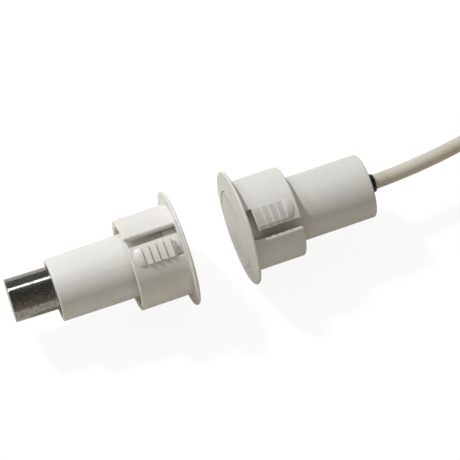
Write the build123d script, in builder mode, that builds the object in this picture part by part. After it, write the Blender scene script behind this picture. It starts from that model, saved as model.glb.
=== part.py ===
from build123d import *

import math
import os

# A recessed magnetic contact: a magnet half and a switch half, held in two facing holes.
# Millimetres. X is the common axis and points from the magnet to the cable, Z is up.
# The origin is on the axis, where the switch half's flange seats on the face of its hole.
# In each half, lengths run from its own flange seat into its own hole.

# Snap-in sleeve, one moulding that both halves use, sized from the barrel in its hub outwards
hub_clearance = 0.05
hub_wall = 0.8
hub_length = 3.0
spring_gap = 0.7
collar_wall = 1.35
collar_length = 11.4
collar_root = 0.2
collar_end_round = 0.25
flange_lip = 2.7
flange_thickness = 1.1
flange_rim_thickness = 0.55
flange_rim_round = 0.22
web_thickness = 0.5

# Spring tabs that L-shaped slots free from the collar, with sawtooth barbs on each
tab_count = 2
tab_roll = 22.0
slot_angle = 12.1
slot_lip_round = 0.6
barb_angle = 21.5
barb_edge_angle = 4.4
barb_root_angle = 2.5
window_width = 1.8
barb_count = 5
barb_pitch = 1.6
barb_height = 0.6
barb_lean = 0.15
barb_valley = 0.06
barb_window_gap = 0.4
barb_nose_length = 2.1

# Head that closes the front of each barrel and seats in the sleeve's counterbore
head_lip = 1.4
head_clearance = 0.15
head_edge_round = 0.25
barrel_end_round = 0.3

# Switch barrel
barrel_radius = 7.1
barrel_wall = 1.1
barrel_length = 28.9
barrel_front_wall = 1.0

# Magnet tube, drafted towards its open mouth, and the rod glued into its bottom
seat_distance = 14.25
tube_length = 27.8
tube_draft = 0.27
tube_wall = 1.2
tube_front_wall = 0.75
magnet_clearance = 1.2
magnet_length = 37.3
magnet_edge_round = 0.25
magnet_lean = 1.5
glue_floor = 0.25

# Potting that fills the switch barrel and stands up as a neck round the cable
potting_recess = 0.3
potting_neck_wall = 0.325
potting_flare = 2.25
potting_neck_height = 2.1
potting_cover = 0.4

# Reed switch in its glass
glass_start = 4.0
glass_length = 14.0
glass_radius = 1.2
glass_wall = 0.35
glass_seal_length = 1.6
glass_end_round = 0.9
reed_height = 0.9
lead_radius = 0.25
lead_length = 2.6
blade_width = 0.9
blade_thickness = 0.22
blade_overlap = 1.2
blade_gap = 0.1

# Cable, its four cores, and their joints
cable_radius = 1.625
cable_start = 23.5
core_radius = 0.5
core_spread = 0.6
core_straight = 1.5
solder_radius = 0.85
solder_length = 1.6

# Hank in which the cable's unseen length is put away, its tie, and the stripped end
hank_turn_count = 3
hank_layer_count = 4
hank_run = 44.0
hank_fold_radius = 9.75
hank_corner_round = 1.6
hank_inset = 0.15
tie_thickness = 0.4
tie_width = 3.0
twist_radius = 0.7
twist_length = 8.0
tail_length = 10.0
end_core_length = 9.0
end_core_landing = 4.0
end_core_reaches = [0.4, -1.9, 1.4, 4.6]
bare_tip_length = 3.0
bare_tip_radius = 0.3

# The cable's route from inside the potting to the top layer of the hank
cable_route = [
    (cable_start, 0.0, 0.0),
    (32.5, 0.0, 0.0),
    (45.5, 1.3, -0.6),
    (59.0, 4.1, -1.6),
    (68.0, 8.2, -0.95),
    (77.375, 10.9, -1.075),
]

# Places that follow from the sizes
face = -flange_thickness
head_back = -web_thickness
head_radius = barrel_radius + head_lip
head_bore = head_radius + head_clearance
hub_bore = barrel_radius + hub_clearance
hub_radius = hub_bore + hub_wall
collar_bore = hub_radius + spring_gap
collar_radius = collar_bore + collar_wall
flange_radius = collar_radius + flange_lip
slot_start = barb_angle / 2 + barb_edge_angle
slot_end = slot_start + slot_angle
window_start = -barb_angle / 2 - barb_root_angle
barrel_bore = barrel_radius - barrel_wall
barrel_floor = face + barrel_front_wall
tube_bore = barrel_radius - tube_wall
tube_floor = face + tube_front_wall
tube_mouth_radius = barrel_radius - tube_draft
magnet_radius = tube_bore - magnet_clearance
potting_neck_radius = cable_radius + potting_neck_wall
potting_base_radius = potting_neck_radius + potting_flare
glass_end = glass_start + glass_length
glass_middle = (glass_start + glass_end) / 2
floor_height = -flange_radius
hank_bottom = floor_height + tie_thickness
hank_height = 2 * hank_layer_count * cable_radius
hank_inner_radius = hank_fold_radius - cable_radius
hank_outer_radius = hank_inner_radius + 2 * hank_turn_count * cable_radius
hank_fold_x = cable_route[-1][0]
hank_edge_radius = hank_outer_radius - cable_radius - hank_inset
hank_y = cable_route[-1][1] - hank_edge_radius
hank_x = hank_fold_x + hank_run / 2
tail_height = hank_bottom + cable_radius + hank_inset
tail_start = Vector(hank_fold_x, hank_y - hank_edge_radius, tail_height)
tail_end = tail_start + Vector(-tail_length, 0, floor_height + cable_radius - tail_height)

barb_side = Vector(0, 0, 1).rotate(Axis.X, tab_roll)
switch_seat = Plane(origin=(0, 0, 0), x_dir=barb_side, z_dir=(1, 0, 0))
magnet_seat = Plane(origin=(-seat_distance, 0, 0), x_dir=barb_side, z_dir=(-1, 0, 0))


def axis_of(seat):
    """The axis of one half, which points into its hole."""
    return Axis(seat.origin, seat.z_dir)


def section_of(seat, angle=0.0):
    """A plane through a half's axis, with x into the hole and y outwards at this angle."""
    outward = seat.x_dir.rotate(Axis((0, 0, 0), seat.z_dir), angle)
    return Plane(origin=seat.origin, x_dir=seat.z_dir, z_dir=seat.z_dir.cross(outward))


def bend_radii(points):
    """The largest arc that each corner of a cord's route takes without using up its runs."""
    radii = []
    for before, corner, after in zip(points, points[1:], points[2:]):
        arriving = Vector(corner) - Vector(before)
        leaving = Vector(after) - Vector(corner)
        half_turn = math.radians(arriving.get_angle(leaving)) / 2
        radii.append(0.45 * min(arriving.length, leaving.length) / math.tan(half_turn))
    return radii


def round_tube(points, radius):
    """A round cord along straight runs that tangent arcs join."""
    with BuildPart() as cord:
        with BuildLine() as path:
            if len(points) == 2:
                Line(*points)
            else:
                FilletPolyline(*points, radius=bend_radii(points))
        with BuildSketch(path.line ^ 0):
            Circle(radius)
        sweep()
    return cord.part


def collar_opening(seat, start_angle, turn, end):
    """The space of a cut through the collar's wall, over this turn, from its root to this end."""
    with BuildPart() as opening:
        with BuildSketch(section_of(seat, start_angle)):
            with Locations(((collar_root + end) / 2, collar_radius)):
                Rectangle(end - collar_root, 2 * collar_wall)
        revolve(axis=axis_of(seat), revolution_arc=turn)
    return opening.part


def barb_row(seat, start_angle):
    """Sawtooth barbs: steep faces towards the flange, ramps towards the collar's free end."""
    crest = collar_radius + barb_height
    valley = collar_radius + barb_valley
    root = collar_radius - collar_wall / 2
    first = window_width + barb_window_gap
    last = first + (barb_count - 1) * barb_pitch
    with BuildPart() as barbs:
        with BuildSketch(section_of(seat, start_angle)):
            with BuildLine():
                Polyline((last, valley), (last, root), (first, root), (first, valley))
                for tooth in range(barb_count - 1):
                    steep = first + tooth * barb_pitch
                    Line((steep, valley), (steep + barb_lean, crest))
                    Line((steep + barb_lean, crest), (steep + barb_pitch, valley))
            make_face()
        revolve(axis=axis_of(seat), revolution_arc=barb_angle)
        add(barb_nose(seat, start_angle, last))
    return barbs.part


def barb_nose(seat, start_angle, start):
    """The last barb, which is a steep face and a round nose that leads into the hole."""
    root = collar_radius - collar_wall / 2
    crest = collar_radius + barb_height
    ball_radius = (barb_nose_length**2 + barb_height**2) / (2 * barb_height)
    middle = section_of(seat, start_angle + barb_angle / 2)
    with BuildPart() as nose:
        with BuildSketch(section_of(seat, start_angle)):
            with BuildLine():
                Polyline(
                    (start, root),
                    (start, collar_radius + barb_valley),
                    (start + barb_lean, crest),
                    (start + barb_nose_length, crest),
                    (start + barb_nose_length, root),
                    close=True,
                )
            make_face()
        revolve(axis=axis_of(seat), revolution_arc=barb_angle)
        with Locations(middle.from_local_coords((start, crest - ball_radius))):
            Sphere(ball_radius, mode=Mode.INTERSECT)
    return nose.part


def snap_sleeve(seat):
    """Flange, hub and slotted collar, with the barbed spring tabs that snap behind the hole."""
    with BuildPart() as sleeve:
        with BuildSketch(section_of(seat)):
            with BuildLine():
                Polyline(
                    (face, head_bore),
                    (-flange_rim_thickness, flange_radius),
                    (0, flange_radius),
                    (0, collar_radius),
                    (collar_length, collar_radius),
                    (collar_length, collar_bore),
                    (collar_root, collar_bore),
                    (collar_root, hub_radius),
                    (hub_length, hub_radius),
                    (hub_length, hub_bore),
                    (head_back, hub_bore),
                    (head_back, head_bore),
                    close=True,
                )
            make_face()
        revolve(axis=axis_of(seat))
        rim = sleeve.faces().filter_by(GeomType.CYLINDER).sort_by(lambda wall: wall.radius)[-1]
        fillet(rim.edges().filter_by(GeomType.CIRCLE), flange_rim_round)
        free_end = sleeve.faces().sort_by(axis_of(seat))[-1]
        fillet(free_end.edges(), collar_end_round)
        for tab in range(tab_count):
            roll = tab * 360 / tab_count
            window_turn = slot_end - window_start
            window = collar_opening(seat, roll + window_start, window_turn, window_width)
            slot = collar_opening(seat, roll + slot_start, slot_angle, collar_length)
            add(window, mode=Mode.SUBTRACT)
            add(slot, mode=Mode.SUBTRACT)
            plain_side = section_of(seat, roll + slot_end)
            lip = plain_side.from_local_coords(((window_width + collar_length) / 2, collar_radius, 0))
            fillet(sleeve.edges().sort_by_distance(lip)[0], slot_lip_round)
            add(barb_row(seat, roll - barb_angle / 2))
    return sleeve.part


def switch_barrel():
    """Barrel of the switch half, closed by the head that seats in its sleeve."""
    with BuildPart() as barrel:
        with BuildSketch(section_of(switch_seat)):
            with BuildLine():
                Polyline(
                    (face, 0),
                    (face, head_radius),
                    (head_back, head_radius),
                    (head_back, barrel_radius),
                    (barrel_length, barrel_radius),
                    (barrel_length, barrel_bore),
                    (barrel_floor, barrel_bore),
                    (barrel_floor, 0),
                    close=True,
                )
            make_face()
        revolve(axis=axis_of(switch_seat))
        fillet(barrel.edges().group_by(Axis.X)[-1], barrel_end_round)
        fillet(barrel.edges().group_by(Axis.X)[0], head_edge_round)
    return barrel.part


def magnet_tube():
    """Drafted tube of the magnet half, closed by its head and open at its mouth."""
    with BuildPart() as tube:
        with BuildSketch(section_of(magnet_seat)):
            with BuildLine():
                Polyline(
                    (face, 0),
                    (face, head_radius),
                    (head_back, head_radius),
                    (head_back, barrel_radius),
                    (hub_length, barrel_radius),
                    (tube_length, tube_mouth_radius),
                    (tube_length, tube_mouth_radius - tube_wall),
                    (hub_length, tube_bore),
                    (tube_floor, tube_bore),
                    (tube_floor, 0),
                    close=True,
                )
            make_face()
        revolve(axis=axis_of(magnet_seat))
        fillet(tube.edges().group_by(Axis.X)[0], barrel_end_round)
        fillet(tube.edges().group_by(Axis.X)[-1], head_edge_round)
    return tube.part


def magnet_rod():
    """Plated magnet rod, which leans in its loose tube and stands out of the mouth."""
    foot = magnet_seat.origin + magnet_seat.z_dir * (tube_floor + glue_floor)
    lean = magnet_seat.z_dir.rotate(Axis.Z, -magnet_lean)
    with BuildPart() as rod:
        with BuildSketch(Plane(origin=foot, z_dir=lean)):
            Circle(magnet_radius)
        extrude(amount=magnet_length)
        fillet(rod.edges().filter_by(GeomType.CIRCLE), magnet_edge_round)
    return rod.part


def magnet_glue(rod):
    """Adhesive that holds the rod's inner end in the bottom of the tube."""
    with BuildPart() as glue:
        with BuildSketch(magnet_seat.offset(tube_floor)):
            Circle(tube_bore)
        extrude(amount=hub_length - tube_floor)
        add(rod, mode=Mode.SUBTRACT)
    return glue.part


def reed_envelope():
    """The outside of the glass capsule."""
    with BuildPart() as envelope:
        with BuildSketch(Plane.YZ.offset(glass_start)):
            with Locations((0, reed_height)):
                Circle(glass_radius)
        extrude(amount=glass_length)
        fillet(envelope.edges().filter_by(GeomType.CIRCLE), glass_end_round)
    return envelope.part


def reed_glass():
    """Sealed glass capsule round the gas space where the two blades overlap."""
    with BuildPart() as glass:
        add(reed_envelope())
        with BuildSketch(Plane.YZ.offset(glass_start + glass_seal_length)):
            with Locations((0, reed_height)):
                Circle(glass_radius - glass_wall)
        extrude(amount=glass_length - 2 * glass_seal_length, mode=Mode.SUBTRACT)
        with BuildSketch(Plane.YZ.offset(glass_start)):
            with Locations((0, reed_height)):
                Circle(lead_radius)
        extrude(amount=glass_length, mode=Mode.SUBTRACT)
    return glass.part


def reed_blade(seal, inward, height):
    """One reed: a round lead through the glass's seal, then a flat blade in the gas space."""
    lead_end = seal - inward * lead_length
    root = seal + inward * glass_seal_length
    tip = glass_middle + inward * blade_overlap / 2
    with BuildPart() as blade:
        with BuildSketch(Plane.YZ.offset(lead_end)):
            with Locations((0, reed_height)):
                Circle(lead_radius)
        extrude(amount=root - lead_end)
        with BuildSketch(Plane.YZ.offset(root)):
            with Locations((0, reed_height + height)):
                Rectangle(blade_width, blade_thickness)
        extrude(amount=tip - root)
    return blade.part


def core_routes():
    """The routes of the cable's four cores, from the end of the sheath to their joints."""
    bend = cable_start - core_straight
    lead_side = -lead_radius - core_radius - potting_cover / 2
    under_glass = reed_height - glass_radius - core_radius - potting_cover
    front_joint = glass_start - lead_length / 2
    rear_joint = glass_end + lead_length / 2
    loop_side = glass_radius + core_radius + potting_cover
    return {
        "core_front": [
            (cable_start, -core_spread, -core_spread),
            (bend, -core_spread, -core_spread),
            (glass_end, -core_spread / 2, under_glass),
            (glass_start + core_radius, 0, under_glass),
            (front_joint - core_radius, 0, reed_height + lead_side),
        ],
        "core_rear": [
            (cable_start, -core_spread, core_spread),
            (bend, -core_spread, core_spread),
            (rear_joint, lead_side, reed_height),
        ],
        "core_loop_out": [
            (cable_start, core_spread, core_spread),
            (bend, core_spread, core_spread),
            (glass_end, loop_side, core_spread),
        ],
        "core_loop_back": [
            (cable_start, core_spread, -core_spread),
            (bend, core_spread, -core_spread),
            (glass_end, loop_side, -core_spread),
        ],
    }


def solder_joint(centre, joined):
    """A bead of solder that holds these pieces together."""
    with BuildPart() as joint:
        with BuildSketch(Plane.YZ.offset(centre[0] - solder_length / 2)):
            with Locations((centre[1], centre[2])):
                Circle(solder_radius)
        extrude(amount=solder_length)
        fillet(joint.edges().filter_by(GeomType.CIRCLE), solder_radius / 2)
        for piece in joined:
            add(piece, mode=Mode.SUBTRACT)
    return joint.part


def potting(buried):
    """Compound that fills the barrel round its contents and stands up round the cable."""
    top = barrel_length - potting_recess
    neck = barrel_length + potting_neck_height
    meniscus = (
        top + (neck - top) * 0.35,
        potting_neck_radius + (potting_base_radius - potting_neck_radius) * 0.35,
    )
    with BuildPart() as compound:
        with BuildSketch(section_of(switch_seat)):
            with BuildLine():
                Polyline(
                    (neck, potting_neck_radius),
                    (neck, 0),
                    (barrel_floor, 0),
                    (barrel_floor, barrel_bore),
                    (top, barrel_bore),
                    (top, potting_base_radius),
                )
                ThreePointArc((top, potting_base_radius), meniscus, (neck, potting_neck_radius))
            make_face()
        revolve(axis=axis_of(switch_seat))
        for piece in buried:
            add(piece, mode=Mode.SUBTRACT)
    return compound.part


def cable_hank(tube, tail):
    """The outer shape of the folded cable, with its first and last runs left to the tubes."""
    with BuildPart() as hank:
        with BuildSketch(Plane.XY.offset(hank_bottom)):
            with Locations((hank_x, hank_y)):
                SlotCenterToCenter(hank_run, 2 * hank_outer_radius)
                SlotCenterToCenter(hank_run, 2 * hank_inner_radius, mode=Mode.SUBTRACT)
        extrude(amount=hank_height)
        flat_faces = hank.faces().filter_by(Axis.Z)
        fillet(flat_faces.edges(), hank_corner_round)
        add(tube, mode=Mode.SUBTRACT)
        add(tail, mode=Mode.SUBTRACT)
    return hank.part


def hank_tie():
    """Band round the hank's waist, with its ends twisted together on top."""
    middle = hank_bottom + hank_height / 2
    twist_height = hank_height / 2 + tie_thickness + twist_radius / 2
    band_round = hank_corner_round + tie_thickness
    with BuildPart() as tie:
        with BuildSketch(Plane(origin=(hank_x, hank_y, middle), x_dir=(0, 1, 0), z_dir=(1, 0, 0))):
            RectangleRounded(
                2 * (hank_outer_radius + tie_thickness), hank_height + 2 * tie_thickness, band_round
            )
            RectangleRounded(
                2 * hank_outer_radius, hank_height, hank_corner_round, mode=Mode.SUBTRACT
            )
        extrude(amount=tie_width / 2, both=True)
        twist_start = Vector(hank_x, hank_y, middle + twist_height)
        with BuildSketch(Plane(origin=twist_start, x_dir=(0, 1, 0), z_dir=(1, 0, 0))):
            Circle(twist_radius)
        extrude(amount=twist_length)
    return tie.part


def end_core(side, level, reach):
    """One core beyond the end of the sheath, laid aside on the floor, with its bare tip."""
    along = (tail_end - tail_start).normalized()
    end_plane = Plane(origin=tail_end, x_dir=(0, 1, 0), z_dir=along)
    start = end_plane.from_local_coords((side * core_spread, level * core_spread, 0))
    bend = start + along * core_straight
    landing = Vector(bend.X - end_core_landing, bend.Y + reach, floor_height + core_radius)
    end = landing - Vector(end_core_length - end_core_landing, 0, 0)
    insulation = round_tube([start, bend, landing, end], core_radius)
    with BuildPart() as core:
        add(insulation)
        with BuildSketch(Plane(origin=end, z_dir=(-1, 0, 0))):
            Circle(bare_tip_radius)
        extrude(amount=bare_tip_length)
    return core.part


def build_contact():
    """Every piece of the contact, by name."""
    pieces = {
        "switch_sleeve": snap_sleeve(switch_seat),
        "switch_barrel": switch_barrel(),
        "magnet_sleeve": snap_sleeve(magnet_seat),
        "magnet_tube": magnet_tube(),
        "magnet_rod": magnet_rod(),
        "reed_glass": reed_glass(),
        "reed_front": reed_blade(glass_start, 1, (blade_thickness + blade_gap) / 2),
        "reed_rear": reed_blade(glass_end, -1, -(blade_thickness + blade_gap) / 2),
        "cable_tube": round_tube(cable_route, cable_radius),
        "cable_tail": round_tube([tail_start, tail_end], cable_radius),
        "hank_tie": hank_tie(),
    }
    pieces["magnet_glue"] = magnet_glue(pieces["magnet_rod"])
    routes = core_routes()
    for name, route in routes.items():
        pieces[name] = round_tube(route, core_radius)
    front = routes["core_front"][-1]
    rear = routes["core_rear"][-1]
    loop = routes["core_loop_out"][-1]
    pieces["solder_front"] = solder_joint(
        (front[0] + core_radius, 0, (front[2] + reed_height) / 2),
        [pieces["core_front"], pieces["reed_front"]],
    )
    pieces["solder_rear"] = solder_joint(
        (rear[0], rear[1] / 2, reed_height),
        [pieces["core_rear"], pieces["reed_rear"]],
    )
    pieces["solder_loop"] = solder_joint(
        (loop[0] - core_radius, loop[1], 0),
        [pieces["core_loop_out"], pieces["core_loop_back"]],
    )
    buried = ["reed_front", "reed_rear", "cable_tube", *routes]
    buried += ["solder_front", "solder_rear", "solder_loop"]
    pieces["potting"] = potting([reed_envelope(), *[pieces[name] for name in buried]])
    pieces["cable_hank"] = cable_hank(pieces["cable_tube"], pieces["cable_tail"])
    corners = [(-1, -1), (-1, 1), (1, -1), (1, 1)]
    for number, ((side, level), reach) in enumerate(zip(corners, end_core_reaches), start=1):
        pieces[f"end_core_{number}"] = end_core(side, level, reach)
    return pieces


os.makedirs("parts", exist_ok=True)
for name, piece in build_contact().items():
    piece.label = name
    export_step(piece, f"parts/{name}.step")

print("cable bend radii", [round(radius, 1) for radius in bend_radii(cable_route)])
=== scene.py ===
"""A recessed magnetic contact: its magnet half, switch half and folded cable."""

import logging
import math
from dataclasses import dataclass
from enum import Enum
from typing import Any, Dict, List, Protocol, Sequence, Tuple, Union

import bmesh
import bpy
from mathutils import Matrix, Vector


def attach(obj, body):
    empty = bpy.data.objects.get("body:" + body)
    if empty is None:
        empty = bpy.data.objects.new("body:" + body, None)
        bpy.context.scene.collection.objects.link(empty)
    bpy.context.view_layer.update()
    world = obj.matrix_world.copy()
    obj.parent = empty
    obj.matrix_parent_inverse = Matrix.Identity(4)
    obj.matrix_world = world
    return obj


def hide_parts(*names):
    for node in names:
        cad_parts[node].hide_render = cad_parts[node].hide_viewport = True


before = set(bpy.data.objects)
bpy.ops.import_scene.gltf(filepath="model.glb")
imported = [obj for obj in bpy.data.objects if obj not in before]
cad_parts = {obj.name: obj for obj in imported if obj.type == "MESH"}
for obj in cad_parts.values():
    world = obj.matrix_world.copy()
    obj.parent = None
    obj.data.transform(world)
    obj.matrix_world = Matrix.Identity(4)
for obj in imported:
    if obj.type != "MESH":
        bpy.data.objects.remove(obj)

log = logging.getLogger("contact")

Colour = Tuple[float, float, float]
Point = Tuple[float, float, float]
Socket = bpy.types.NodeSocket

MM = 0.001
FLOOR_HEIGHT = -12.7 * MM
WHITE: Colour = (1.0, 1.0, 1.0)


class Lay(Enum):
    """The two ways that turns are laid within one layer of the hank."""

    INWARDS = 1
    OUTWARDS = -1


class Detail(Enum):
    """How many finer layers a noise has."""

    PLAIN = 1.0
    SOFT = 2.0
    FINE = 3.0
    RICH = 4.0


class Tree:
    """Places and links the nodes of one node tree."""

    def __init__(self, tree: bpy.types.NodeTree) -> None:
        """Starts on the node tree that gets the nodes."""
        self.tree = tree

    def add(self, kind: str, **values: Any) -> bpy.types.Node:
        """Adds a node.

        Args:
            kind: The node's type.
            **values: Properties of the node, by name.

        Returns:
            The new node.
        """
        node = self.tree.nodes.new(kind)
        for key, value in values.items():
            setattr(node, key, value)
        return node

    def give(self, target: Socket, value: Union[Socket, Colour, float]) -> None:
        """Links a value to an input, or writes a constant there.

        Args:
            target: The input's socket.
            value: An output's socket, a colour or a number.
        """
        if isinstance(value, bpy.types.NodeSocket):
            self.tree.links.new(value, target)
        elif isinstance(value, tuple):
            target.default_value = (*value, 1.0)
        else:
            target.default_value = value

    def mix(
        self,
        factor: Union[Socket, float],
        first: Union[Socket, Colour],
        second: Union[Socket, Colour],
        blend: str = "MIX",
    ) -> Socket:
        """Mixes two colours.

        Args:
            factor: The share of the second colour.
            first: The colour at 0.
            second: The colour at 1.
            blend: The Mix node's blend type.

        Returns:
            The colour's socket.
        """
        node = self.add("ShaderNodeMix", data_type="RGBA", blend_type=blend)
        self.give(node.inputs["Factor"], factor)
        self.give(node.inputs["A"], first)
        self.give(node.inputs["B"], second)
        return node.outputs["Result"]

    def maths(
        self, operation: str, first: Socket, second: Union[Socket, float]
    ) -> Socket:
        """Works out one result from two values.

        Args:
            operation: The Math node's operation.
            first: The first value.
            second: The second value.

        Returns:
            The result's socket.
        """
        node = self.add("ShaderNodeMath", operation=operation)
        self.give(node.inputs[0], first)
        self.give(node.inputs[1], second)
        return node.outputs[0]

    def spread(
        self,
        value: Socket,
        low: float,
        high: float,
        start: float = 0.3,
        end: float = 0.7,
    ) -> Socket:
        """Maps a value's range onto two limits; by itself, a noise's middle range.

        Args:
            value: The value to map.
            low: The result at start.
            high: The result at end.
            start: The value that gives low.
            end: The value that gives high.

        Returns:
            The mapped socket.
        """
        node = self.add("ShaderNodeMapRange")
        node.inputs["From Min"].default_value = start
        node.inputs["From Max"].default_value = end
        node.inputs["To Min"].default_value = low
        node.inputs["To Max"].default_value = high
        self.give(node.inputs["Value"], value)
        return node.outputs["Result"]

    def ramp(self, value: Socket, low: Colour, high: Colour) -> Socket:
        """Blends evenly from a colour at 0 to a colour at 1.

        Args:
            value: The place on the ramp.
            low: The colour at 0.
            high: The colour at 1.

        Returns:
            The colour's socket.
        """
        node = self.add("ShaderNodeValToRGB")
        for stop, colour in zip(node.color_ramp.elements, (low, high)):
            stop.color = (*colour, 1.0)
        self.give(node.inputs[0], value)
        return node.outputs["Color"]


class Bench(Tree):
    """Builds up one material round its surface shader."""

    def __init__(self, name: str) -> None:
        """Starts an empty material with one surface shader.

        Args:
            name: The material's name.
        """
        self.material = bpy.data.materials.new(name)
        self.material.use_nodes = True
        super().__init__(self.material.node_tree)
        self.shader = self.tree.nodes["Principled BSDF"]

    def feed(self, name: str, value: Union[Socket, Colour, float]) -> None:
        """Gives the shader's input of this name a socket, a colour or a number."""
        self.give(self.shader.inputs[name], value)

    def place(self, scale: Point = (1.0, 1.0, 1.0)) -> Socket:
        """Gives object coordinates, stretched along each axis.

        Args:
            scale: The stretch along X, Y and Z.

        Returns:
            The vector socket.
        """
        source = self.add("ShaderNodeTexCoord")
        mapping = self.add("ShaderNodeMapping")
        mapping.inputs["Scale"].default_value = scale
        self.give(mapping.inputs["Vector"], source.outputs["Object"])
        return mapping.outputs["Vector"]

    def noise(
        self,
        vector: Socket,
        size: float,
        detail: Detail = Detail.FINE,
        rough: float = 0.55,
    ) -> Socket:
        """Gives noise whose features are about this large.

        Args:
            vector: The place to read.
            size: The features' size in metres.
            detail: How many finer layers there are.
            rough: The strength of the finer layers.

        Returns:
            The noise's factor socket.
        """
        node = self.add("ShaderNodeTexNoise")
        node.inputs["Scale"].default_value = 1.0 / size
        node.inputs["Detail"].default_value = detail.value
        node.inputs["Roughness"].default_value = rough
        self.give(node.inputs["Vector"], vector)
        return node.outputs["Fac"]

    def mottle(self, noise: Socket, first: Colour, second: Colour) -> Socket:
        """Mixes two colours by a noise, with the first where the noise is low."""
        return self.mix(self.spread(noise, 0.0, 1.0), first, second)

    def specks(
        self, colour: Socket, size: float, share: float, rough: float = 0.65
    ) -> Socket:
        """Darkens a colour unevenly in fine specks.

        Args:
            colour: The colour's socket.
            size: The specks' size in metres.
            share: The share of light that the darkest specks lose.
            rough: The strength of the finer specks.

        Returns:
            The speckled colour's socket.
        """
        specks = self.noise(self.place(), size, rough=rough)
        kept = self.spread(specks, 1.0, 1.0 - share)
        return self.mix(1.0, colour, kept, "MULTIPLY")

    def gloss(
        self, noise: Socket, roughness: float, below: float, above: float
    ) -> None:
        """Varies the shader's roughness with a noise, this far below and above."""
        varied = self.spread(noise, roughness - below, roughness + above)
        self.feed("Roughness", varied)

    def emboss(self, height: Socket, depth: float, strength: float = 1.0) -> None:
        """Turns a height into a bump on the shader, over any bump that is there.

        Args:
            height: The height's socket, from 0 to 1.
            depth: The height of 1, in metres.
            strength: The share of the bump that shows.
        """
        node = self.add("ShaderNodeBump")
        node.inputs["Distance"].default_value = depth
        node.inputs["Strength"].default_value = strength
        self.give(node.inputs["Height"], height)
        normal = self.shader.inputs["Normal"]
        if normal.is_linked:
            self.give(node.inputs["Normal"], normal.links[0].from_socket)
        self.give(normal, node.outputs["Normal"])


def darker(colour: Colour, share: float, warmth: float = 0.0) -> Colour:
    """Gives a colour this much darker, and this much warmer.

    Args:
        colour: The colour to start from.
        share: The share of light that is lost.
        warmth: The share of blue that is lost besides, with a third of it in green.

    Returns:
        The darker colour.
    """
    keep = 1.0 - share
    red, green, blue = colour
    return red * keep, green * keep * (1.0 - warmth / 3), blue * keep * (1.0 - warmth)


def eased(share: float) -> float:
    """Gives a share a smooth start and end, and holds it from 0 to 1."""
    held = min(max(share, 0.0), 1.0)
    return held * held * (3.0 - 2.0 * held)


class Finish(Protocol):
    """What each finish has, with sizes and depths in metres and shares from 0 to 1."""

    name: str

    def make(self) -> bpy.types.Material:
        """Builds the material."""


@dataclass(frozen=True)
class MouldedPlastic:
    """Moulded plastic: faint flow clouds, specks, fine satin grain and a soft gloss."""

    name: str
    colour: Colour
    roughness: float = 0.42
    gloss_below: float = 0.05
    gloss_above: float = 0.07
    ior: float = 1.5
    cloud_size: float = 9.0 * MM
    cloud_share: float = 0.04
    cloud_warmth: float = 0.03
    speck_size: float = 0.45 * MM
    speck_share: float = 0.07
    grain_size: float = 0.22 * MM
    grain_depth: float = 0.004 * MM
    ripple_size: float = 4.0 * MM
    ripple_depth: float = 0.01 * MM

    def make(self) -> bpy.types.Material:
        """Builds the material.

        Returns:
            The material.
        """
        bench = Bench(self.name)
        place = bench.place()
        shade = darker(self.colour, self.cloud_share, self.cloud_warmth)
        cloud = bench.mottle(bench.noise(place, self.cloud_size), self.colour, shade)
        skin = bench.specks(cloud, self.speck_size, self.speck_share)
        bench.feed("Base Color", skin)
        grain = bench.noise(place, self.grain_size, Detail.SOFT)
        bench.gloss(grain, self.roughness, self.gloss_below, self.gloss_above)
        ripple = bench.noise(place, self.ripple_size, Detail.PLAIN)
        bench.emboss(ripple, self.ripple_depth)
        bench.emboss(grain, self.grain_depth)
        bench.feed("IOR", self.ior)
        return bench.material


@dataclass(frozen=True)
class NickelPlate:
    """Bright nickel plate on a drawn rod, with fine lines, small pits and wipes."""

    name: str
    colour: Colour
    roughness: float = 0.12
    gloss_below: float = 0.03
    gloss_above: float = 0.07
    line_width: float = 0.35 * MM
    line_stretch: float = 0.06
    line_depth: float = 0.004 * MM
    pit_size: float = 0.5 * MM
    pit_depth: float = 0.01 * MM
    wipe_size: float = 3.0 * MM
    wipe_stretch: float = 0.35
    wipe_share: float = 0.12
    wipe_warmth: float = 0.05
    speck_size: float = 0.5 * MM
    speck_share: float = 0.6

    def make(self) -> bpy.types.Material:
        """Builds the material.

        Returns:
            The material.
        """
        bench = Bench(self.name)
        wiped = bench.place((self.wipe_stretch, 1.0, 1.0))
        wipes = bench.noise(wiped, self.wipe_size)
        shade = darker(self.colour, self.wipe_share, self.wipe_warmth)
        plate = bench.mottle(wipes, self.colour, shade)
        skin = bench.specks(plate, self.speck_size, self.speck_share)
        bench.feed("Base Color", skin)
        bench.gloss(wipes, self.roughness, self.gloss_below, self.gloss_above)
        along = bench.place((self.line_stretch, 1.0, 1.0))
        bench.emboss(bench.noise(along, self.line_width, Detail.SOFT), self.line_depth)
        pits = bench.noise(bench.place(), self.pit_size, Detail.SOFT)
        bench.emboss(pits, self.pit_depth)
        bench.feed("Metallic", 1.0)
        return bench.material


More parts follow.
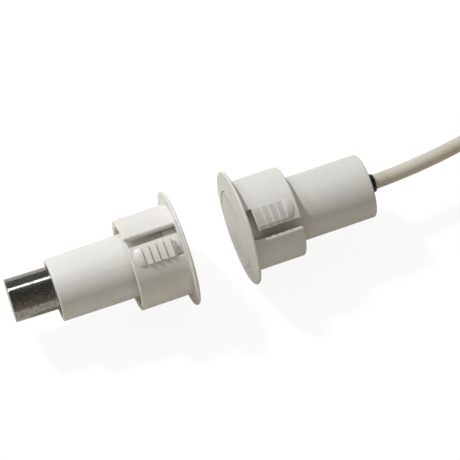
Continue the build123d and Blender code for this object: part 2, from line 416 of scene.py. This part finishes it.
@dataclass(frozen=True)
class CastCompound:
    """Black casting compound: a set liquid with a soft skin, bubbles and some dust."""

    name: str
    colour: Colour
    roughness: float = 0.5
    dust_colour: Colour = (0.03, 0.03, 0.028)
    dust_size: float = 0.4 * MM
    dust_start: float = 0.55
    dust_end: float = 0.8
    dust_roughness: float = 0.25
    bubble_size: float = 0.8 * MM
    bubble_depth: float = 0.05 * MM
    bubble_strength: float = 0.6

    def make(self) -> bpy.types.Material:
        """Builds the material.

        Returns:
            The material.
        """
        bench = Bench(self.name)
        place = bench.place()
        grit = bench.noise(place, self.dust_size, Detail.RICH)
        dust = bench.spread(grit, 0.0, 1.0, self.dust_start, self.dust_end)
        bench.feed("Base Color", bench.mix(dust, self.colour, self.dust_colour))
        dusty = self.roughness + self.dust_roughness
        bench.feed("Roughness", bench.spread(dust, self.roughness, dusty, 0.0, 1.0))
        bubbles = bench.noise(place, self.bubble_size, Detail.SOFT)
        bench.emboss(bubbles, self.bubble_depth, self.bubble_strength)
        return bench.material


@dataclass(frozen=True)
class CableSheath:
    """Smooth extruded sheath, with long faint draw marks and a little handling dirt."""

    name: str
    colour: Colour
    roughness: float = 0.46
    gloss_below: float = 0.06
    gloss_above: float = 0.08
    mark_size: float = 0.9 * MM
    mark_stretch: Point = (0.4, 0.9, 0.9)
    mark_depth: float = 0.02 * MM
    dirt_size: float = 6.0 * MM
    dirt_share: float = 0.08
    dirt_warmth: float = 0.04

    def make(self) -> bpy.types.Material:
        """Builds the material.

        Returns:
            The material.
        """
        bench = Bench(self.name)
        grime = bench.noise(bench.place(), self.dirt_size, Detail.RICH)
        shade = darker(self.colour, self.dirt_share, self.dirt_warmth)
        bench.feed("Base Color", bench.mottle(grime, self.colour, shade))
        marks = bench.noise(bench.place(self.mark_stretch), self.mark_size)
        bench.gloss(marks, self.roughness, self.gloss_below, self.gloss_above)
        bench.emboss(marks, self.mark_depth)
        return bench.material


@dataclass(frozen=True)
class CoreInsulation:
    """Thin coloured insulation on a core, a little glossy."""

    name: str
    colour: Colour
    roughness: float = 0.32
    cloud_size: float = 1.5 * MM
    cloud_share: float = 0.15
    cloud_roughness: float = 0.08
    grain_size: float = 0.4 * MM
    grain_depth: float = 0.01 * MM

    def make(self) -> bpy.types.Material:
        """Builds the material.

        Returns:
            The material.
        """
        bench = Bench(self.name)
        place = bench.place()
        cloud = bench.spread(bench.noise(place, self.cloud_size), 0.0, 1.0)
        shade = darker(self.colour, self.cloud_share)
        bench.feed("Base Color", bench.mix(cloud, self.colour, shade))
        dull = self.roughness + self.cloud_roughness
        bench.feed("Roughness", bench.spread(cloud, self.roughness, dull, 0.0, 1.0))
        bench.emboss(bench.noise(place, self.grain_size), self.grain_depth)
        return bench.material


@dataclass(frozen=True)
class SoftMetal:
    """Solder or reed metal: a dull to bright plate with a fine crystalline skin."""

    name: str
    colour: Colour
    roughness: float = 0.3
    gloss_below: float = 0.06
    gloss_above: float = 0.1
    crystal_size: float = 0.3 * MM
    crystal_share: float = 0.2
    crystal_depth: float = 0.01 * MM

    def make(self) -> bpy.types.Material:
        """Builds the material.

        Returns:
            The material.
        """
        bench = Bench(self.name)
        skin = bench.noise(bench.place(), self.crystal_size)
        shade = darker(self.colour, self.crystal_share)
        bench.feed("Base Color", bench.mottle(skin, self.colour, shade))
        bench.gloss(skin, self.roughness, self.gloss_below, self.gloss_above)
        bench.emboss(skin, self.crystal_depth)
        bench.feed("Metallic", 1.0)
        return bench.material


@dataclass(frozen=True)
class ClearBody:
    """A clear solid, such as glass or set adhesive, with a faint tint and waves."""

    name: str
    colour: Colour
    roughness: float = 0.05
    gloss_above: float = 0.04
    ior: float = 1.5
    wave_size: float = 2.0 * MM
    wave_share: float = 0.05
    wave_depth: float = 0.02 * MM

    def make(self) -> bpy.types.Material:
        """Builds the material.

        Returns:
            The material.
        """
        bench = Bench(self.name)
        wave = bench.noise(bench.place(), self.wave_size, Detail.PLAIN)
        shade = darker(self.colour, self.wave_share)
        bench.feed("Base Color", bench.mottle(wave, self.colour, shade))
        bench.gloss(wave, self.roughness, 0.0, self.gloss_above)
        bench.emboss(wave, self.wave_depth)
        bench.feed("IOR", self.ior)
        bench.feed("Transmission Weight", 1.0)
        return bench.material


class Finishes:
    """Every finish of the contact, made once and handed out by its slot name."""

    def __init__(self) -> None:
        """Lists the finishes."""
        self.recipes: Dict[str, Finish] = {
            recipe.name: recipe
            for recipe in (
                MouldedPlastic("grey_plastic", (0.75, 0.74, 0.712)),
                MouldedPlastic("grey_barrel", (0.73, 0.725, 0.70), roughness=0.45),
                MouldedPlastic("ivory_plastic", (0.81, 0.795, 0.76)),
                MouldedPlastic("ivory_tube", (0.82, 0.81, 0.778), roughness=0.47),
                NickelPlate("nickel", (0.50, 0.49, 0.465)),
                ClearBody("clear_glue", (0.82, 0.80, 0.70), roughness=0.2),
                CastCompound("black_potting", (0.010, 0.010, 0.010)),
                ClearBody("capsule_glass", (0.78, 0.88, 0.80)),
                SoftMetal("reed_metal", (0.62, 0.60, 0.56)),
                CoreInsulation("core_red", (0.55, 0.04, 0.03)),
                CoreInsulation("core_black", (0.02, 0.02, 0.02)),
                CoreInsulation("core_green", (0.04, 0.28, 0.08)),
                CoreInsulation("core_white", (0.80, 0.80, 0.77)),
                SoftMetal("solder", (0.70, 0.70, 0.70), roughness=0.25),
                CableSheath("cable_sheath", (0.67, 0.63, 0.54)),
                MouldedPlastic("tie_white", (0.80, 0.80, 0.78), roughness=0.35),
            )
        }
        self.made: Dict[str, bpy.types.Material] = {}

    def get(self, slot: str) -> bpy.types.Material:
        """Gives a slot's material, and makes it the first time.

        Args:
            slot: The finish's slot name.

        Returns:
            The material.
        """
        if slot not in self.made:
            self.made[slot] = self.recipes[slot].make()
        return self.made[slot]

    def dress(self, node: str, slot: str) -> bpy.types.Object:
        """Puts a slot's material on a solid of the frame.

        Args:
            node: The solid's name.
            slot: The finish's slot name.

        Returns:
            The solid's object.
        """
        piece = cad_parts[node]
        for holder in piece.material_slots:
            holder.material = self.get(slot)
        log.info("%s is dressed in %s", node, slot)
        return piece

    def dress_all(self, slots: Dict[str, str]) -> List[bpy.types.Object]:
        """Dresses several solids, each named with its slot, and gives their objects."""
        return [self.dress(node, slot) for node, slot in slots.items()]


@dataclass(frozen=True)
class SwitchHalf:
    """Switch half: snap-in sleeve, barrel, potting, and the reed with its joints."""

    sleeve_slot: str = "grey_plastic"
    barrel_slot: str = "grey_barrel"

    def dress(self, finishes: Finishes) -> None:
        """Dresses each solid of this half.

        Args:
            finishes: Every finish of the contact.
        """
        finishes.dress_all(
            {
                "switch_sleeve": self.sleeve_slot,
                "switch_barrel": self.barrel_slot,
                "potting": "black_potting",
                "reed_glass": "capsule_glass",
                "reed_front": "reed_metal",
                "reed_rear": "reed_metal",
                "solder_front": "solder",
                "solder_rear": "solder",
                "solder_loop": "solder",
                "core_front": "core_red",
                "core_rear": "core_black",
                "core_loop_out": "core_green",
                "core_loop_back": "core_white",
            }
        )


@dataclass(frozen=True)
class MagnetHalf:
    """Magnet half: the same sleeve, a drafted tube, and a rod glued into its bottom."""

    sleeve_slot: str = "ivory_plastic"
    tube_slot: str = "ivory_tube"

    def dress(self, finishes: Finishes) -> None:
        """Dresses each solid of this half.

        Args:
            finishes: Every finish of the contact.
        """
        finishes.dress_all(
            {
                "magnet_sleeve": self.sleeve_slot,
                "magnet_tube": self.tube_slot,
                "magnet_rod": "nickel",
                "magnet_glue": "clear_glue",
            }
        )


@dataclass(frozen=True)
class Cable:
    """The whole cable on one smooth line: its lead, the turns of its hank and its tail.

    A turn of the hank has two straight runs, each with a half-round fold after it. The
    turns start at the top outside. They lie in columns, counted inwards, and in layers,
    counted downwards.
    """

    diameter: float = 3.25 * MM
    neck_end: Point = (31.0 * MM, 0.0, 0.0)
    lead_points_mm: Tuple[Point, ...] = (
        (23.5, 0.0, 0.0),
        (32.5, 0.0, 0.0),
        (45.5, 1.3, -0.6),
        (59.0, 4.1, -1.6),
        (68.0, 8.2, -0.95),
    )
    fold_x: float = 77.375 * MM
    hank_y: float = -5.2 * MM
    run: float = 44.0 * MM
    outer_radius: float = 16.25 * MM
    top_height: float = -0.925 * MM
    columns: int = 3
    layers: int = 4
    run_points: int = 6
    fold_points: int = 10
    first_step: float = 0.75
    step_share: float = 0.1
    sheath_end: Point = (67.375 * MM, -21.3 * MM, -11.075 * MM)
    length: float = 1.858
    line_order: int = 3
    line_steps: int = 8
    round_steps: int = 6

    def lead(self) -> List[Vector]:
        """Gives the route's points from inside the potting to the start of the hank."""
        return [Vector(point) * MM for point in self.lead_points_mm]

    def run_share(self) -> float:
        """Gives the share of a turn that one straight run takes."""
        middle_radius = self.outer_radius - (self.columns - 1) / 2 * self.diameter
        return self.run / (2.0 * self.run + 2.0 * math.pi * middle_radius)

    def steps(self) -> List[Tuple[float, int, int]]:
        """Lists the cable's steps from turn to turn and from layer to layer.

        Returns:
            For each step, the turns at its end, and its new column and layer.
        """
        found = []
        when = self.first_step
        column = 0
        for layer in range(self.layers):
            way = Lay.INWARDS if layer % 2 == 0 else Lay.OUTWARDS
            for _ in range(self.columns - 1):
                column += way.value
                found.append((when, column, layer))
                when += 1.0
            when -= self.step_share
            found.append((when, column, layer + 1))
            when += 1.0 - self.step_share
        return found[:-1]

    def laid(self, turns: float) -> Tuple[float, float]:
        """Gives where in the bundle the cable lies after this many turns.

        Args:
            turns: Whole and part turns since the hank's start.

        Returns:
            The column from the outside and the layer from the top, with part steps.
        """
        column, layer = 0.0, 0.0
        column_before, layer_before = 0, 0
        for end, column_after, layer_after in self.steps():
            share = eased((turns - end) / self.step_share + 1.0)
            column += (column_after - column_before) * share
            layer += (layer_after - layer_before) * share
            column_before, layer_before = column_after, layer_after
        return column, layer

    def place(self, turns: float) -> Vector:
        """Gives the point of the hank after this many turns, clockwise from above.

        Args:
            turns: Whole and part turns since the hank's start.

        Returns:
            The point on the cable's middle line.
        """
        column, layer = self.laid(turns)
        radius = self.outer_radius - column * self.diameter
        height = self.top_height - layer * self.diameter
        share = self.run_share()
        part = turns % 1.0
        along = min((part % 0.5) / share, 1.0)
        swing = math.pi * max((part % 0.5) - share, 0.0) / (0.5 - share)
        x = along * self.run - self.run / 2 + radius * math.sin(swing)
        y = radius * math.cos(swing)
        if part >= 0.5:
            x, y = -x, -y
        return Vector((self.fold_x + self.run / 2 + x, self.hank_y + y, height))

    def hank(self) -> List[Vector]:
        """Gives the points of the hank's turns, from top outside to bottom outside.

        Returns:
            The control points, down to the end of the last straight run.
        """
        share = self.run_share()
        fold = 0.5 - share
        straight = [share * i / self.run_points for i in range(self.run_points)]
        bent = [share + fold * i / self.fold_points for i in range(self.fold_points)]
        turn = straight + bent + [0.5 + part for part in straight + bent]
        last = math.floor(self.steps()[-1][0]) + 0.5 + share
        just_short = last - fold / self.fold_points / 2
        stations = [whole + part for whole in range(math.ceil(last)) for part in turn]
        return [self.place(station) for station in stations if station < just_short]

    def tail(self) -> List[Vector]:
        """Gives the points from the hank's last run to the end of the sheath.

        Returns:
            The control points.
        """
        y = self.hank_y - self.outer_radius
        height = self.top_height - (self.layers - 1) * self.diameter
        start, end = Vector((self.fold_x, y, height)), Vector(self.sheath_end)
        return [start, start.lerp(end, 0.5), end]

    def line(self) -> bpy.types.Object:
        """Lays the cable's round smooth curve along its route.

        Returns:
            The curve's object.
        """
        points = [*self.lead(), *self.hank(), *self.tail()]
        curve = bpy.data.curves.new("cable", "CURVE")
        curve.dimensions = "3D"
        curve.resolution_u = self.line_steps
        curve.render_resolution_u = self.line_steps
        curve.bevel_depth = self.diameter / 2
        curve.bevel_resolution = self.round_steps
        curve.use_fill_caps = True
        spline = curve.splines.new("NURBS")
        spline.points.add(len(points) - 1)
        for target, point in zip(spline.points, points):
            target.co = (*point, 1.0)
        spline.order_u = self.line_order
        spline.use_endpoint_u = True
        cable = bpy.data.objects.new("cable", curve)
        bpy.context.scene.collection.objects.link(cable)
        log.info("cable is one cord of %d points", len(points))
        return cable

    def build(self, finishes: Finishes) -> bpy.types.Object:
        """Builds the cable as one smooth round cord, with its tie and bare cores.

        Args:
            finishes: Every finish of the contact.

        Returns:
            The cable's curve object.
        """
        cable = self.line()
        cable.data.materials.append(finishes.get("cable_sheath"))
        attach(cable, "root")
        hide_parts("cable_tube", "cable_hank", "cable_tail")
        on_it = finishes.dress_all(
            {
                "hank_tie": "tie_white",
                "end_core_1": "core_red",
                "end_core_2": "core_black",
                "end_core_3": "core_green",
                "end_core_4": "core_white",
            }
        )
        return cable


@dataclass(frozen=True)
class Lamp:
    """A soft rectangular lamp, aimed at the part's origin.

    The height is its angle about the part's axis, from the front over the top, and the
    lean is its angle towards the cable, both in degrees. Its width, length and distance
    are in metres, and its power is in watts.
    """

    name: str
    height: float
    lean: float
    width: float
    length: float
    power: float
    colour: Colour
    distance: float = 0.9

    def hang(self) -> None:
        """Hangs the lamp."""
        height, lean = math.radians(self.height), math.radians(self.lean)
        axis = Vector((1.0, 0.0, 0.0))
        upright = Vector((0.0, -math.cos(height), math.sin(height)))
        outward = upright * math.cos(lean) + axis * math.sin(lean)
        along = (axis - outward * outward.x).normalized()
        light = bpy.data.lights.new(self.name, "AREA")
        light.shape = "RECTANGLE"
        light.size, light.size_y = self.length, self.width
        light.energy = self.power
        light.color = self.colour
        holder = bpy.data.objects.new(self.name, light)
        turn = Matrix((along, outward.cross(along), outward)).transposed()
        move = Matrix.Translation(outward * self.distance)
        holder.matrix_world = move @ turn.to_4x4()
        bpy.context.scene.collection.objects.link(holder)


@dataclass(frozen=True)
class Studio:
    """The pale floor, the soft light and the camera at the photograph's place.

    The part's origin lies origin_right and origin_down from the picture's middle, in
    pixels of a picture that is image_width wide. Distances are in metres.
    """

    azimuth: float = math.radians(-20.91)
    elevation: float = math.radians(62.12)
    view_angle: float = math.radians(13.81)
    distance: float = 0.407
    origin_right: float = 10.12
    origin_down: float = -2.23
    image_width: float = 460.0
    clip_start: float = 0.01
    clip_end: float = 50.0
    floor_half: float = 3.0
    floor_glow: float = 0.9
    floor_share: float = 0.13
    floor_colour: Colour = (0.77, 0.74, 0.675)
    gloss_share: float = 0.05
    sky_low: Colour = (0.26, 0.235, 0.20)
    sky_high: Colour = (0.36, 0.34, 0.30)
    gloss_low: Colour = (0.28, 0.235, 0.19)
    gloss_back: Colour = (0.235, 0.235, 0.225)
    gloss_high: Colour = (0.085, 0.09, 0.085)
    back_blend: float = 0.2
    lamps: Tuple[Lamp, ...] = (
        Lamp("key", 125.5, -22.0, 0.08, 0.08, 4.75, (0.955, 1.0, 1.05)),
        Lamp("side", 126.0, -42.0, 0.1, 0.1, 1.2, (0.96, 1.0, 1.04)),
        Lamp("strip", 122.5, 3.5, 0.12, 0.24, 0.65, WHITE),
    )

    def axes(self) -> Tuple[Vector, Vector, Vector]:
        """Gives the camera's directions.

        Returns:
            The directions to its right, up and forward.
        """
        across = Vector((math.cos(self.azimuth), math.sin(self.azimuth), 0.0))
        ahead = Vector((-math.sin(self.azimuth), math.cos(self.azimuth), 0.0))
        down = Vector((0.0, 0.0, -1.0))
        forward = ahead * math.cos(self.elevation) + down * math.sin(self.elevation)
        return across, across.cross(forward), forward

    def camera(self) -> None:
        """Sets the camera at the photograph's place."""
        across, up, forward = self.axes()
        focal = self.image_width / 2 / math.tan(self.view_angle / 2)
        shift = across * self.origin_right - up * self.origin_down
        eye = -(shift * (self.distance / focal) + forward * self.distance)
        lens = bpy.data.cameras.new("camera")
        lens.sensor_fit = "HORIZONTAL"
        lens.angle = self.view_angle
        lens.clip_start = self.clip_start
        lens.clip_end = self.clip_end
        holder = bpy.data.objects.new("camera", lens)
        turn = Matrix((across, up, -forward)).transposed()
        holder.matrix_world = Matrix.Translation(eye) @ turn.to_4x4()
        bpy.context.scene.collection.objects.link(holder)
        bpy.context.scene.camera = holder

    def floor(self) -> None:
        """Lays the pale floor, which looks white where it is lit and keeps shadows."""
        sheet = bmesh.new()
        bmesh.ops.create_grid(sheet, x_segments=1, y_segments=1, size=self.floor_half)
        bmesh.ops.translate(sheet, verts=sheet.verts, vec=(0.0, 0.0, FLOOR_HEIGHT))
        mesh = bpy.data.meshes.new("floor")
        sheet.to_mesh(mesh)
        sheet.free()
        floor = bpy.data.objects.new("floor", mesh)
        bpy.context.scene.collection.objects.link(floor)
        mesh.materials.append(self.paper())

    def paper(self) -> bpy.types.Material:
        """Makes the floor's paper, which lights the part warmly and looks white.

        Returns:
            The material.
        """
        bench = Bench("paper")
        bench.tree.nodes.remove(bench.shader)
        lit, faint = (bench.add("ShaderNodeBsdfDiffuse") for _ in range(2))
        bench.give(lit.inputs["Color"], self.floor_colour)
        bench.give(faint.inputs["Color"], (self.floor_share,) * 3)
        glow = bench.add("ShaderNodeEmission")
        bench.give(glow.inputs["Strength"], self.floor_glow)
        white = bench.add("ShaderNodeAddShader")
        bench.give(white.inputs[0], faint.outputs[0])
        bench.give(white.inputs[1], glow.outputs[0])
        look = bench.add("ShaderNodeMixShader")
        bench.give(look.inputs[0], self.seen_rays(bench))
        bench.give(look.inputs[1], lit.outputs[0])
        bench.give(look.inputs[2], white.outputs[0])
        output = bench.tree.nodes["Material Output"]
        bench.give(output.inputs["Surface"], look.outputs[0])
        return bench.material

    def seen_rays(self, tree: Tree) -> Socket:
        """Gives 1 for the camera's rays and rays through glass, and a share for gloss.

        Args:
            tree: The node tree to add to.

        Returns:
            The factor's socket, which is 0 for all other rays.
        """
        path = tree.add("ShaderNodeLightPath")
        seen = tree.maths("MULTIPLY", path.outputs["Is Glossy Ray"], self.gloss_share)
        for name in ("Is Camera Ray", "Is Transmission Ray"):
            seen = tree.maths("MAXIMUM", seen, path.outputs[name])
        return seen

    def sky(self) -> None:
        """Sets the surroundings: white to the camera and from below, dim from above."""
        world = bpy.data.worlds.new("studio")
        world.use_nodes = True
        bpy.context.scene.world = world
        tree = Tree(world.node_tree)
        path = tree.add("ShaderNodeLightPath")
        split = tree.add("ShaderNodeSeparateXYZ")
        tree.give(split.inputs[0], tree.add("ShaderNodeTexCoord").outputs["Generated"])
        height = split.outputs["Z"]
        depth, edge = split.outputs["Y"], self.back_blend
        behind = tree.spread(depth, 0.0, 1.0, -edge, edge)
        front = tree.ramp(height, self.gloss_low, self.gloss_high)
        back = tree.ramp(height, self.gloss_back, self.gloss_high)
        mirrored = tree.mix(behind, front, back)
        plain = tree.ramp(height, self.sky_low, self.sky_high)
        above = tree.mix(path.outputs["Is Glossy Ray"], plain, mirrored)
        below = tree.maths("LESS_THAN", height, 0.0)
        pale = tree.maths("MAXIMUM", below, path.outputs["Is Camera Ray"])
        background = world.node_tree.nodes["Background"]
        tree.give(background.inputs["Color"], tree.mix(pale, above, WHITE))

    def build(self) -> None:
        """Sets up the whole studio."""
        self.camera()
        self.floor()
        self.sky()
        for lamp in self.lamps:
            lamp.hang()
        settings = bpy.context.scene.view_settings
        settings.view_transform = "Standard"
        log.info("studio is set up")


def main() -> None:
    """Builds the contact, dresses it and sets it in the studio."""
    logging.basicConfig(level=logging.INFO, format="%(message)s")
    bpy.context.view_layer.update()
    finishes = Finishes()
    Studio().build()
    Cable().build(finishes)
    SwitchHalf().dress(finishes)
    MagnetHalf().dress(finishes)


if __name__ == "__main__":
    main()
